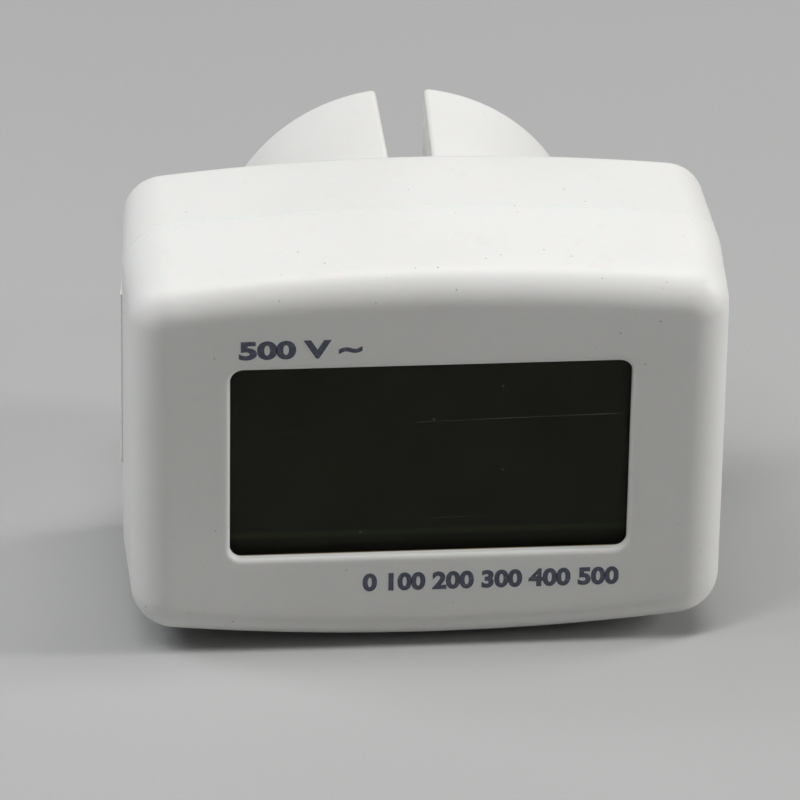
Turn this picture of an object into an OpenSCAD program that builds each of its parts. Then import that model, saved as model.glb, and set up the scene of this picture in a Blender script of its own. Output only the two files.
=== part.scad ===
// Plug-in mains voltmeter: a white two-part case with a recessed liquid-crystal
// display in front and a round earthed-socket plug with two contact pins behind.
//
// Frame: millimetres, +X to the right of someone reading the display, +Z up and
// +Y out of the back, the way the pins point. The origin is the middle of the
// plug's end face, halfway between the two pins.

/* [Case] */
// Width of the case at its seam
case_w = 59; // [58.5:0.1:62]
// Height of the case at its seam, over the crowned top and bottom
case_h = 43.1; // [42.5:0.1:46]
// Depth of the case from its front face to its back face
case_d = 24.8; // [24.4:0.1:28]
// Depth of the rear shell, from the seam to the back face
rear_d = 12; // [11.6:0.1:12.2]
// Radius of the large arc that crowns the top and the bottom
crown_r = 225; // [160:5:400]
// Radius of the case's four long corners
corner_r = 4.8; // [4.6:0.1:5.4]
// Radius of the rounded edge round the front face
front_edge_r = 3.5; // [2.5:0.1:3.7]
// Radius of the rounded edge round the back face
rear_edge_r = 1.2; // [0.8:0.1:1.6]
// How much each side of the front face stands in from the seam
front_draft = 0.4; // [0.2:0.05:0.6]
// How much each side of the back face stands in from the seam
rear_draft = 0.7; // [0.3:0.05:0.8]
// Thickness of the case walls
wall = 2; // [1.8:0.1:2.1]

/* [Window] */
// Width of the display window
window_w = 39.2; // [36:0.1:39.6]
// Height of the display window
window_h = 21.6; // [20:0.1:22.2]
// Height of the window's middle above the plug axis
window_z = 0.15; // [0:0.05:0.4]
// Corner radius of the window
window_r = 1.3; // [0.8:0.1:2]
// Bevel round the window
window_bevel = 0.45; // [0.2:0.05:0.5]

/* [Plug] */
// Radius of the round plug body
boss_r = 18.5; // [18.4:0.05:18.7]
// Length of the round plug body behind the case
boss_len = 18; // [17.5:0.1:18.5]
// Distance between the two pins
pin_pitch = 19; // [19:0.1:19.2]
// Radius of a pin
pin_r = 2.4; // [2.38:0.01:2.42]
// Length of a pin outside the plug body
pin_len = 19; // [18:0.1:19.5]
// Width of an earth slot where it meets the case
slot_w_case = 4.2; // [4.1:0.05:4.4]
// Width of an earth slot at the plug's end face
slot_w_end = 4.9; // [4.4:0.05:5]
// Height of an earth slot's floor above the plug axis
slot_floor = 8.6; // [8.4:0.1:9]

/* [Hidden] */
$fn = 48;

// Stations along Y
y_back = -boss_len;
y_seam = y_back - rear_d;
y_front = y_back - case_d;

// Shells
inner_edge_r = 1.6;             // rounding inside the front wall
lip_t = 0.95;                   // thickness of the front shell's outer lip
lip_h = 1.3;                    // depth of the rebate behind that lip
lip_gap = 0.06;                 // play between lip and tongue
corner_steps = 7;
crown_steps = 7;
edge_steps = 6;

// Screw columns, shared by both shells
column_x = 24.2;
column_z = 14.9;
post_r = 2.6;
column_r = 3.1;
post_top = y_seam - lip_h - 0.5;
pilot_play = 0.05;              // a screw's shank stands for the root of its thread
case_shank_r = 0.85;
case_clear_r = 1.35;
case_head_r = 2.3;
case_head_h = 1.8;
case_head_seat = y_back - 7.5;
case_screw_len = 12;

// Display stack, front to back
lens_t = 1;
tape_t = 0.15;
lens_front = y_front + 1;
lens_margin = 1.2;              // how far the lens reaches past the window
lens_back = lens_front + lens_t;
glass_front = lens_back + 0.1;
film_t = 0.2;
glass_t = 1.1;
diffuser_t = 0.3;
guide_t = 2.4;
glass_x = 20.4;
glass_top = window_z + 12.35;
glass_bottom = window_z - 12.15;
ledge_bottom = window_z - 14.65;
y_glass = glass_front + film_t;
y_cell = y_glass + glass_t;
y_rear_film = y_cell + glass_t;
y_diffuser = y_rear_film + film_t;
y_guide = y_diffuser + diffuser_t;
y_reflector = y_guide + guide_t;
y_tray = y_reflector + film_t;
tray_t = 1;
tray_wall = 0.95;
tray_play = 0.05;

// Circuit board
board_t = 1.6;
board_back = y_seam - 2;
board_front = board_back - board_t;
board_x = 26.2;
board_z = 16.9;
notch_x = 21.2;
notch_z = 11.8;
board_screw_x = 24.2;
board_post_r = 2.1;
board_shank_r = 0.85;
hole_r = 0.45;
lead_r = 0.3;
lead_stub = 0.5;                // what a soldered lead stands out of the board

// Tray legs through the board
leg_r = 0.75;
legs = [for (x = [-1, 1]) for (z = [glass_top + 0.6, ledge_bottom - 0.65]) [x * 20, z]];

// Radial parts: [x, z, lead offset along X, lead offset along Z]
film_cap_at = [-2, 12.6];
film_cap = [18, 11, 6];
bulk_cap_at = [-15.5, 3.5];
bulk_cap_r = 4;
bulk_cap_h = 11.2;
filter_cap_at = [-15.5, -5.2];
filter_cap_r = 2.5;
filter_cap_h = 7;
varistor_at = [13.5, 12];
varistor_r = 4.1;
varistor_t = 3.6;
ceramic_r = 2.1;
ceramic_t = 2.2;
ceramics = [[-2.2, -0.6], [2.9, -0.6]];
chip_at = [0, 5];
chip_r = 4;
chip_h = 1.5;
radial_pairs = concat(
    [[film_cap_at, 7.5, 0, 0.2], [bulk_cap_at, 1.75, 0, 0.1]],
    [[filter_cap_at, 1, 0, 0.1], [varistor_at, 2.5, 0.6, 1.2]],
    [for (c = ceramics) [c, 1.27, 0, 1]]);

// Axial parts: [x, z, half the lead pitch]
diode_r = 1.3;
diode_len = 5;
diodes = [for (x = [4.5, 16]) for (z = [-8.3, -11.4]) [x, z, 4.5]];
zener_r = 0.95;
zener_len = 3.8;
zener = [4.5, -4.9, 3.8];
resistor_r = 1.15;
resistor_len = 6.2;
resistor_rows = [for (z = [-3.6, -6.2, -8.8, -11.4]) [-6, z, 4.5]];
resistor_extra = [for (z = [-9, -11.6]) [-16.2, z, 4.3]];
all_resistors = concat(resistor_rows, resistor_extra);
fuse_r = 1.7;
fuse_len = 9.4;
fuse = [14.5, 6.2, 6.4];
axials = concat(
    [for (d = diodes) [d, diode_r, diode_len]],
    [[zener, zener_r, zener_len], [fuse, fuse_r, fuse_len]],
    [for (r = all_resistors) [r, resistor_r, resistor_len]]);
axial_lift = 0.3;               // gap between an axial body and the board
run_r = 0.26;                   // the part of a bent lead that runs along X
drop_r = 0.32;                  // the part of it that drops into the board

// Trimmer
trimmer_at = [15.5, -1.4];
trimmer_s = 6.8;
trimmer_h = 4.4;
rotor_r = 1.7;
rotor_play = 0.05;
rotor_t = 1.5;
rotor_proud = 0.2;
pivot_r = 0.5;
trimmer_pins = [[0, 2.4], [-2.4, -2.4], [2.4, -2.4]];

// Backlight lamps
lamp_x = 19.3;
lamp_w = 2.1;
lamp_h = 5;
lamp_pitch = 2.54;

// Plug
boss_wall = 1.8;
end_wall = 2.5;
boss_chamfer = 0.6;
slot_wall = 1.5;
groove_half = 3.2;
groove_floor = 16;
neck_r = 2.9;
neck_play = 0.02;
flange_r = 3.6;
flange_t = 1.5;
tail_r = 1.7;
tail_end = -12;
cup_r = 0.9;
cup_depth = 3;
tip_r = 1.4;
retainer_t = 2.2;
retainer_post_z = 4.5;
retainer_post_r = 2;
retainer_shank_r = 0.9;
y_flange = -end_wall - flange_t;
y_retainer = y_flange - retainer_t;

// Wires from the pins to the board
wire_r = 0.8;
core_r = 0.45;
wire_start = tail_end - 1.5;
wire_end = board_back + 1.8;
pad_x = 6;
pad_z = 3.5;
wire_sag = 2.2;
wire_rings = 22;
wire_sides = 8;

// Side label, on the rear shell's left side
label_t = 0.25;
label_z = [-6.9, 12.4];
label_y = [y_seam + 0.15, y_seam + 10];

// Board holes for every soldered lead: [x, z]
lead_holes = concat(
    [for (p = radial_pairs) for (s = [-1, 1]) [p[0][0] + s * p[1], p[0][1] + s * p[2]]],
    [for (a = axials) for (s = [-1, 1]) [a[0][0] + s * a[0][2], a[0][1]]],
    [for (t = trimmer_pins) trimmer_at + t],
    [for (x = [-1, 1]) for (s = [-1, 1]) [x * lamp_x, s * lamp_pitch / 2]],
    [for (x = [-1, 1]) [x * pad_x, pad_z]]);

// How far the case wall stands in from the seam's outline at a depth y
function draft(y) = y < y_seam
    ? front_draft * (y_seam - y) / (y_seam - y_front)
    : rear_draft * (y - y_seam) / (y_back - y_seam);

// One quarter of the case outline at an inset: a corner arc that runs into the crown arc
function quarter(inset) =
    let (a = case_w / 2 - inset, b = case_h / 2 - inset)
    let (big = crown_r - inset, r = corner_r - inset)
    let (lean = asin((a - r) / (big - r)))
    let (cz = b - big + sqrt(pow(big - r, 2) - pow(a - r, 2)))
    concat(
        [for (i = [0:corner_steps]) let (q = (90 - lean) * i / corner_steps)
            [a - r + r * cos(q), cz + r * sin(q)]],
        [for (i = [1:crown_steps]) let (q = 90 - lean + lean * i / crown_steps)
            [big * cos(q), b - big + big * sin(q)]]);

// The whole outline, counter-clockwise in X and Z
function outline(inset) =
    let (q = quarter(inset), n = len(q))
    concat(q,
        [for (i = [n - 2:-1:0]) [-q[i][0], q[i][1]]],
        [for (i = [0:n - 1]) [-q[i][0], -q[i][1]]],
        [for (i = [n - 2:-1:0]) [q[i][0], -q[i][1]]]);

// A ring of 3-D points at depth y
function ring(inset, y) = [for (p = outline(inset)) [p[0], y, p[1]]];

// A rounded rectangle ring centred on the window
function window_ring(grow, y) =
    let (w = window_w / 2 + grow, h = window_h / 2 + grow, r = window_r + grow)
    [for (c = [[1, 1, 0], [-1, 1, 90], [-1, -1, 180], [1, -1, 270]])
        for (i = [0:corner_steps]) let (q = c[2] + 90 * i / corner_steps)
            [c[0] * (w - r) + r * cos(q), y, window_z + c[1] * (h - r) + r * sin(q)]];

// Skin over rings that all have the same number of points; flip reverses which side is out
module loft(rings, flip = false) {
    n = len(rings[0]);
    m = len(rings);
    sides = [for (i = [0:m - 2]) for (j = [0:n - 1]) let (k = (j + 1) % n)
        each [[i * n + k, (i + 1) * n + k, i * n + j], [(i + 1) * n + k, (i + 1) * n + j, i * n + j]]];
    first = [for (j = [n - 1:-1:0]) j];
    last = [for (j = [0:n - 1]) (m - 1) * n + j];
    faces = concat([first], sides, [last]);
    polyhedron([for (r = rings) each r],
        flip ? [for (f = faces) [for (i = [len(f) - 1:-1:0]) f[i]]] : faces);
}

// A round rod along +Y from y0 to y1
module rod(at, y0, y1, r) {
    translate([at[0], y0, at[1]]) rotate([-90, 0, 0]) cylinder(h = y1 - y0, r = r);
}

// A box given by its low and high corners
module block(low, high) {
    translate(low) cube(high - low);
}

// Children drawn in X and Z, thickened from y0 to y1
module slab(y0, y1) {
    translate([0, y1, 0]) rotate([90, 0, 0]) linear_extrude(y1 - y0) children();
}

// A countersunk-free pan screw whose head's underside is at seat and points to -Y
module screw(at, seat, shank, length, head_r, head_h, recess) {
    difference() {
        union() {
            rod(at, seat - length, seat + 0.01, shank);
            rod(at, seat, seat + head_h, head_r);
        }
        for (a = [0, 90])
            translate([at[0], seat + head_h - recess / 2 + 0.01, at[1]])
                rotate([0, a, 0]) cube([head_r * 1.15, recess, head_r * 0.28], center = true);
    }
}

module front_shell() {
    outer = [for (i = [0:edge_steps]) let (q = 90 * i / edge_steps)
        let (y = y_front + front_edge_r * (1 - cos(q)))
        ring(draft(y) + front_edge_r * (1 - sin(q)), y)];
    floor_y = y_front + wall;
    inner_start = y_seam - lip_h;
    color("ivory") difference() {
        union() {
            loft(concat(outer,
                [ring(0, y_seam), ring(lip_t, y_seam), ring(lip_t, inner_start)],
                [ring(wall, inner_start)],
                [ring(wall + draft(floor_y + inner_edge_r), floor_y + inner_edge_r)],
                [ring(wall + draft(floor_y) + inner_edge_r, floor_y)]));
            for (x = [-1, 1]) for (z = [-1, 1])
                rod([x * column_x, z * column_z], floor_y - 0.5, post_top, post_r);
            for (x = [-1, 1])
                rod([x * board_screw_x, 0], floor_y - 0.5, board_front, board_post_r);
            for (x = [-1, 1])
                block([x * 10 - 2, floor_y - 0.5, glass_top + 1.2], [x * 10 + 2, floor_y + 2, glass_top + 2.2]);
        }
        loft([window_ring(window_bevel, y_front - 1), window_ring(window_bevel, y_front),
            window_ring(0, y_front + window_bevel), window_ring(0, floor_y + 1)]);
        block([-lens_half()[0] - 0.1, lens_front - tape_t, window_z - lens_half()[1] - 0.1],
            [lens_half()[0] + 0.1, floor_y + 1, window_z + lens_half()[1] + 0.1]);
        for (x = [-1, 1]) for (z = [-1, 1])
            rod([x * column_x, z * column_z], post_top - 9, post_top + 1, case_shank_r + pilot_play);
        for (x = [-1, 1])
            rod([x * board_screw_x, 0], board_front - 5, board_front + 1, board_shank_r + pilot_play);
    }
}

// Half width and half height of the lens
function lens_half() = [window_w / 2 + lens_margin, window_h / 2 + lens_margin];

// The space inside the plug body, between the walls of its slots and grooves
module boss_cavity() {
    difference() {
        rod([0, 0], y_back - wall - 1, -end_wall, boss_r - boss_wall);
        for (s = [-1, 1]) {
            block([-slot_w_end / 2 - slot_wall, y_back - 0.01, s > 0 ? slot_floor - slot_wall : -boss_r],
                [slot_w_end / 2 + slot_wall, 0, s > 0 ? boss_r : slot_wall - slot_floor]);
            block([s > 0 ? groove_floor - slot_wall : -boss_r, y_back - 0.01, -groove_half - slot_wall],
                [s > 0 ? boss_r : slot_wall - groove_floor, 0, groove_half + slot_wall]);
            rod([0, s * retainer_post_z], y_flange, 0, retainer_post_r);
        }
    }
}

// The slots for the socket's earth clips and the grooves for its guide ribs
module boss_slots() {
    for (s = [0, 1]) mirror([0, 0, s]) translate([0, 0, slot_floor])
        linear_extrude(boss_r)
            polygon([[-slot_w_case / 2, y_back], [slot_w_case / 2, y_back],
                [slot_w_end / 2, 1], [-slot_w_end / 2, 1]]);
    for (s = [0, 1]) mirror([s, 0, 0])
        block([groove_floor, y_back, -groove_half], [boss_r + 1, 1, groove_half]);
}

module rear_shell() {
    outer = [for (i = [0:edge_steps / 2]) let (q = 180 * i / edge_steps)
        let (y = y_back - rear_edge_r * (1 - cos(q)))
        ring(draft(y) + rear_edge_r * (1 - sin(q)), y)];
    floor_y = y_back - wall;
    tongue = lip_t + lip_gap;
    color("ivory") difference() {
        union() {
            difference() {
                union() {
                    loft(concat(outer,
                        [ring(0, y_seam), ring(tongue, y_seam), ring(tongue, y_seam - lip_h + lip_gap)],
                        [ring(wall, y_seam - lip_h + lip_gap)],
                        [ring(wall + draft(floor_y - inner_edge_r / 2), floor_y - inner_edge_r / 2)],
                        [ring(wall + draft(floor_y) + inner_edge_r / 2, floor_y)]), flip = true);
                    translate([0, y_back - 1, 0]) rotate([-90, 0, 0])
                        rotate_extrude() polygon([[0, 0], [boss_r, 0], [boss_r, boss_len + 1 - boss_chamfer],
                            [boss_r - boss_chamfer, boss_len + 1], [0, boss_len + 1]]);
                }
                boss_cavity();
            }
            for (x = [-1, 1]) for (z = [-1, 1])
                rod([x * column_x, z * column_z], post_top, y_back - 0.5, column_r);
        }
        boss_slots();
        for (x = [-1, 1]) {
            rod([x * pin_pitch / 2, 0], -end_wall - 1, 1, neck_r + neck_play);
            rod([0, x * retainer_post_z], y_flange - 1, -1, retainer_shank_r + pilot_play);
            for (z = [-1, 1]) {
                rod([x * column_x, z * column_z], post_top - 1, y_back, case_clear_r);
                rod([x * column_x, z * column_z], case_head_seat, y_back + 1, case_head_r + 0.25);
            }
        }
    }
}

module lens_tape() {
    h = lens_half();
    color("dimgray") difference() {
        block([-h[0], lens_front - tape_t, window_z - h[1]], [h[0], lens_front, window_z + h[1]]);
        block([-window_w / 2, lens_front - 1, window_z - window_h / 2],
            [window_w / 2, lens_front + 1, window_z + window_h / 2]);
    }
}

module window_lens() {
    h = lens_half();
    color([0.05, 0.06, 0.04]) block([-h[0], lens_front, window_z - h[1]], [h[0], lens_back, window_z + h[1]]);
}

// A sheet of the display stack
module sheet(half_w, bottom, top, y0, t) {
    block([-half_w, y0, bottom], [half_w, y0 + t, top]);
}

module front_polarizer() {
    color("darkslategray") sheet(glass_x - 0.5, glass_bottom + 0.3, glass_top - 0.3, glass_front, film_t);
}

module lcd_front_glass() {
    color("darkseagreen") sheet(glass_x, ledge_bottom, glass_top, y_glass, glass_t);
}

module lcd_rear_glass() {
    color("darkseagreen") sheet(glass_x, glass_bottom, glass_top, y_cell, glass_t);
}

module rear_polarizer() {
    color("darkslategray") sheet(glass_x - 0.5, glass_bottom + 0.3, glass_top - 0.3, y_rear_film, film_t);
}

module diffuser_film() {
    color("whitesmoke") sheet(guide_half(), glass_bottom + 0.3, glass_top - 0.3, y_diffuser, diffuser_t);
}

// Half width of the light guide, between the two lamps
function guide_half() = lamp_x - lamp_w / 2 - 0.1;

module light_guide() {
    color("aliceblue") sheet(guide_half(), glass_bottom + 0.3, glass_top - 0.3, y_guide, guide_t);
}

module reflector_film() {
    color("silver") sheet(guide_half(), glass_bottom + 0.3, glass_top - 0.3, y_reflector, film_t);
}

// The white tray that holds the glass and the light guide, staked to the board by four legs
module lcd_frame() {
    top = glass_top + tray_play;
    bottom = ledge_bottom - tray_play;
    x = glass_x + tray_play;
    color("white") difference() {
        union() {
            block([-x - tray_wall, y_glass, bottom - tray_wall], [x + tray_wall, y_tray + tray_t, top + tray_wall]);
            for (p = legs) rod(p, y_tray + tray_t - 0.01, board_back + 0.7, leg_r);
        }
        block([-x, y_glass - 1, bottom], [x, y_cell, top]);
        block([-x, y_glass - 1, glass_bottom - tray_play], [x, y_diffuser, top]);
        block([-guide_half() - tray_play, y_diffuser - 1, glass_bottom + 0.25],
            [guide_half() + tray_play, y_tray, glass_top - 0.25]);
        for (s = [-1, 1])
            block([s * lamp_x - lamp_w / 2 - tray_play, y_diffuser - 1, -lamp_h / 2 - tray_play],
                [s * lamp_x + lamp_w / 2 + tray_play, y_tray + tray_t + 1, lamp_h / 2 + tray_play]);
        block([-x + 1, y_cell - 1, ledge_bottom + 0.2], [x - 1, y_tray + tray_t + 1, ledge_bottom + 2.3]);
    }
}

module zebra_strip() {
    color("hotpink") block([-glass_x + 1.1, y_cell, ledge_bottom + 0.25], [glass_x - 1.1, board_front, ledge_bottom + 2.2]);
}

module backlight_leds() {
    color("white") for (s = [-1, 1])
        block([s * lamp_x - lamp_w / 2, y_guide, -lamp_h / 2], [s * lamp_x + lamp_w / 2, y_tray, lamp_h / 2]);
}

module backlight_led_leads() {
    color("silver") for (s = [-1, 1]) for (z = [-1, 1])
        rod([s * lamp_x, z * lamp_pitch / 2], y_tray, board_back + lead_stub, lead_r);
}

module circuit_board() {
    color("darkgreen") difference() {
        slab(board_front, board_back) difference() {
            square([2 * board_x, 2 * board_z], center = true);
            for (x = [-1, 1]) for (z = [-1, 1])
                translate([x * (notch_x + 5), z * (notch_z + 5)]) square(10, center = true);
        }
        for (h = lead_holes) rod(h, board_front - 1, board_back + 1, hole_r);
        for (p = legs) rod(p, board_front - 1, board_back + 1, leg_r + 0.05);
        for (x = [-1, 1]) rod([x * board_screw_x, 0], board_front - 1, board_back + 1, 1.1);
    }
}

module board_screws() {
    color("silver") for (x = [-1, 1])
        screw([x * board_screw_x, 0], board_back, board_shank_r, 6, 1.8, 1.3, 0.7);
}

// A low dome of black resin over the controller die
module controller_chip() {
    ball_r = (chip_r * chip_r + chip_h * chip_h) / (2 * chip_h);
    edge = asin(chip_r / ball_r);
    color([0.08, 0.08, 0.08]) translate([chip_at[0], board_back, chip_at[1]]) rotate([-90, 0, 0])
        rotate_extrude() polygon(concat([[0, 0]],
            [for (i = [0:8]) let (q = edge * (8 - i) / 8)
                [ball_r * sin(q), chip_h - ball_r + ball_r * cos(q)]]));
}

module film_capacitor() {
    c = film_cap_at;
    color("gold") block([c[0] - film_cap[0] / 2, board_back + 0.2, c[1] - film_cap[2] / 2],
        [c[0] + film_cap[0] / 2, board_back + 0.2 + film_cap[1], c[1] + film_cap[2] / 2]);
}

// An electrolytic can with a crimp groove near its foot
module can(at, r, h) {
    foot = board_back + 0.1;
    difference() {
        rod(at, foot, foot + h, r);
        difference() {
            rod(at, foot + 1, foot + 1.6, r + 1);
            rod(at, foot, foot + 2, r - 0.3);
        }
        rod(at, foot + h - 0.15, foot + h + 1, r - 0.7);
    }
}

module bulk_capacitor() {
    color("midnightblue") can(bulk_cap_at, bulk_cap_r, bulk_cap_h);
}

module filter_capacitor() {
    color("midnightblue") can(filter_cap_at, filter_cap_r, filter_cap_h);
}

// A coated disc standing on edge, its axis along Z
module disc(at, lift, r, t) {
    translate([at[0], board_back + lift + r, at[1] - t / 2]) {
        cylinder(h = t, r = r - 0.3);
        translate([0, 0, 0.4]) cylinder(h = t - 0.8, r = r);
    }
}

module varistor() {
    color("royalblue") disc(varistor_at, 1.2, varistor_r, varistor_t);
}

module ceramic_capacitors() {
    color("chocolate") for (c = ceramics) disc(c, 1, ceramic_r, ceramic_t);
}

// Straight leads of the parts that stand on the board; discs cover the tops of theirs
module radial_leads() {
    color("silver") for (p = radial_pairs) for (s = [-1, 1]) {
        disc_part = p[3] > 0.5;
        r = p[0] == varistor_at ? varistor_r : ceramic_r;
        dip = disc_part ? r - sqrt(r * r - p[1] * p[1]) : 0;
        difference() {
            rod([p[0][0] + s * p[1], p[0][1] + s * p[2]], board_front - lead_stub,
                board_back + p[3] + dip + (disc_part ? 0.5 : 0), lead_r);
            if (disc_part) disc(p[0], p[3], r, p[0] == varistor_at ? varistor_t : ceramic_t);
        }
    }
}

// An axial body, its length along X
module axial(at, r, length) {
    translate([at[0] - length / 2, board_back + axial_lift + r, at[1]]) rotate([0, 90, 0]) cylinder(h = length, r = r);
}

module fuse_resistor() {
    color("lightsteelblue") axial(fuse, fuse_r, fuse_len);
}

module rectifier_diodes() {
    color([0.1, 0.1, 0.1]) for (d = diodes) axial(d, diode_r, diode_len);
}

module zener_diode() {
    color("orangered") axial(zener, zener_r, zener_len);
}

// Resistors have a waist between their two end caps
module resistors() {
    half = resistor_len / 2;
    profile = [[0, -half], [resistor_r, -half], [resistor_r, 1.4 - half], [resistor_r - 0.15, 1.6 - half],
        [resistor_r - 0.15, half - 1.6], [resistor_r, half - 1.4], [resistor_r, half], [0, half]];
    color("burlywood") for (p = all_resistors)
        translate([p[0], board_back + axial_lift + resistor_r, p[1]]) rotate([0, 90, 0])
            rotate_extrude() polygon(profile);
}

module axial_leads() {
    color("silver") for (a = axials) for (s = [-1, 1]) {
        x = a[0][0] + s * a[0][2];
        body_end = a[0][0] + s * a[2] / 2;
        y = board_back + axial_lift + a[1];
        translate([min(x, body_end), y, a[0][1]]) rotate([0, 90, 0]) cylinder(h = abs(x - body_end), r = run_r);
        rod([x, a[0][1]], board_front - lead_stub, y + drop_r + 0.05, drop_r);
    }
}

module trimmer_base() {
    t = trimmer_at;
    s = trimmer_s / 2;
    top = board_back + trimmer_h;
    color("royalblue") difference() {
        block([t[0] - s, board_back, t[1] - s], [t[0] + s, top, t[1] + s]);
        rod(t, top - rotor_t - rotor_play, top + 1, rotor_r + rotor_play);
        rod(t, board_back + 1, top, pivot_r + rotor_play);
    }
}

// The only piece that turns: the calibration trimmer's slotted rotor
module trimmer_rotor() {
    top = board_back + trimmer_h + rotor_proud;
    color("goldenrod") difference() {
        union() {
            rod(trimmer_at, top - rotor_t - rotor_proud, top, rotor_r);
            rod(trimmer_at, board_back + 1.3, top - 0.5, pivot_r);
        }
        translate([trimmer_at[0], top, trimmer_at[1]]) {
            cube([2.6, 1.2, 0.6], center = true);
            translate([0.5, 0, 0]) cube([0.6, 0.5, 1.4], center = true);
        }
    }
}

module trimmer_leads() {
    color("silver") for (p = trimmer_pins)
        rod(trimmer_at + p, board_front - lead_stub, board_back, lead_r);
}

// One contact pin: rounded tip, flange behind the end wall and a hollow solder tail
module contact_pin(side) {
    tip = [for (i = [0:5]) let (q = 90 * i / 5)
        [pin_r - tip_r + tip_r * cos(q), pin_len - tip_r + tip_r * sin(q)]];
    color("gainsboro") translate([side * pin_pitch / 2, 0, 0]) difference() {
        rotate([-90, 0, 0]) rotate_extrude() polygon(concat(
            [[0, tail_end], [tail_r, tail_end], [tail_r, y_flange], [flange_r, y_flange]],
            [[flange_r, -end_wall], [neck_r, -end_wall], [neck_r, 0], [pin_r, 0]],
            tip, [[0, pin_len]]));
        rod([0, 0], tail_end - 1, tail_end + cup_depth, cup_r);
    }
}

module contact_pin_live() {
    contact_pin(1);
}

module contact_pin_neutral() {
    contact_pin(-1);
}

// The plate that clamps both flanges against the end wall
module pin_retainer() {
    x = pin_pitch / 2;
    color("darkgray") difference() {
        union() {
            block([-x, y_retainer, -3.8], [x, y_flange, 3.8]);
            for (s = [-1, 1]) rod([s * x, 0], y_retainer, y_flange, 3.8);
            block([-2.8, y_retainer, -6.6], [2.8, y_flange, 6.6]);
        }
        for (s = [-1, 1]) {
            rod([s * x, 0], y_retainer - 1, y_flange + 1, tail_r + 0.05);
            rod([0, s * retainer_post_z], y_retainer - 1, y_flange + 1, 1.05);
        }
    }
}

module retainer_screws() {
    color("silver") for (s = [-1, 1])
        mirror([0, 1, 0]) screw([0, s * retainer_post_z], -y_retainer, retainer_shank_r, 4.6, 1.9, 1.3, 0.7);
}

// Centre line of a wire at t from 0, at the pin, to 1, at the board
function wire_point(side, t) =
    let (ease = t * t * (3 - 2 * t), bow = pow(sin(180 * t), 2))
    [side * (pin_pitch / 2 + (pad_x - pin_pitch / 2) * ease + wire_sag * bow),
        wire_start + (wire_end - wire_start) * t,
        pad_z * ease - wire_sag * bow];

function unit(v) = v / norm(v);

// A round tube swept along the wire's centre line
module wire(side) {
    rings = [for (i = [0:wire_rings]) let (t = i / wire_rings, d = 0.01)
        let (along = unit(wire_point(side, min(1, t + d)) - wire_point(side, max(0, t - d))))
        let (flat = i == 0 || i == wire_rings ? [0, -1, 0] : along)
        let (u = unit(cross(flat, [0, 0, 1])), v = cross(u, flat))
        [for (k = [0:wire_sides - 1]) let (q = 360 * k / wire_sides)
            wire_point(side, t) + wire_r * (cos(q) * u + sin(q) * v)]];
    loft(rings);
}

module lead_live() {
    color("saddlebrown") wire(1);
}

module lead_neutral() {
    color("steelblue") wire(-1);
}

// Bare tinned ends: one in each pin's cup and one in each board pad
module lead_ends() {
    color("silver") for (s = [-1, 1]) {
        rod([s * pin_pitch / 2, 0], wire_start, tail_end + cup_depth - 0.2, core_r);
        rod([s * pad_x, pad_z], board_front - lead_stub, wire_end, core_r - 0.05);
    }
}

module case_screws() {
    color("silver") for (x = [-1, 1]) for (z = [-1, 1])
        screw([x * column_x, z * column_z], case_head_seat, case_shank_r, case_screw_len,
            case_head_r, case_head_h, 0.9);
}

module side_label() {
    x = -case_w / 2;
    color("whitesmoke") translate([0, 0, label_z[0]]) linear_extrude(label_z[1] - label_z[0])
        polygon([for (c = [[0, 0], [0, 1], [label_t, 1], [label_t, 0]])
            [x + draft(label_y[c[1]]) - c[0], label_y[c[1]]]]);
}

front_shell();
rear_shell();
lens_tape();
window_lens();
front_polarizer();
lcd_front_glass();
lcd_rear_glass();
rear_polarizer();
diffuser_film();
light_guide();
reflector_film();
lcd_frame();
zebra_strip();
backlight_leds();
backlight_led_leads();
circuit_board();
board_screws();
controller_chip();
film_capacitor();
bulk_capacitor();
filter_capacitor();
varistor();
ceramic_capacitors();
radial_leads();
fuse_resistor();
rectifier_diodes();
zener_diode();
resistors();
axial_leads();
trimmer_base();
trimmer_rotor();
trimmer_leads();
contact_pin_live();
contact_pin_neutral();
pin_retainer();
retainer_screws();
lead_live();
lead_neutral();
lead_ends();
case_screws();
side_label();
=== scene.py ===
"""Plug-in mains voltmeter: a white two-part case with a dark display window and a round plug behind.

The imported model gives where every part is. The case, the window, the plug, the screws and what
can be seen of the inside are built again here with their real edges and surfaces.
"""
from math import asin, cos, degrees, pi, radians, sin, sqrt, tan

import bmesh
import bpy
from mathutils import Matrix, Vector


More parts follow.
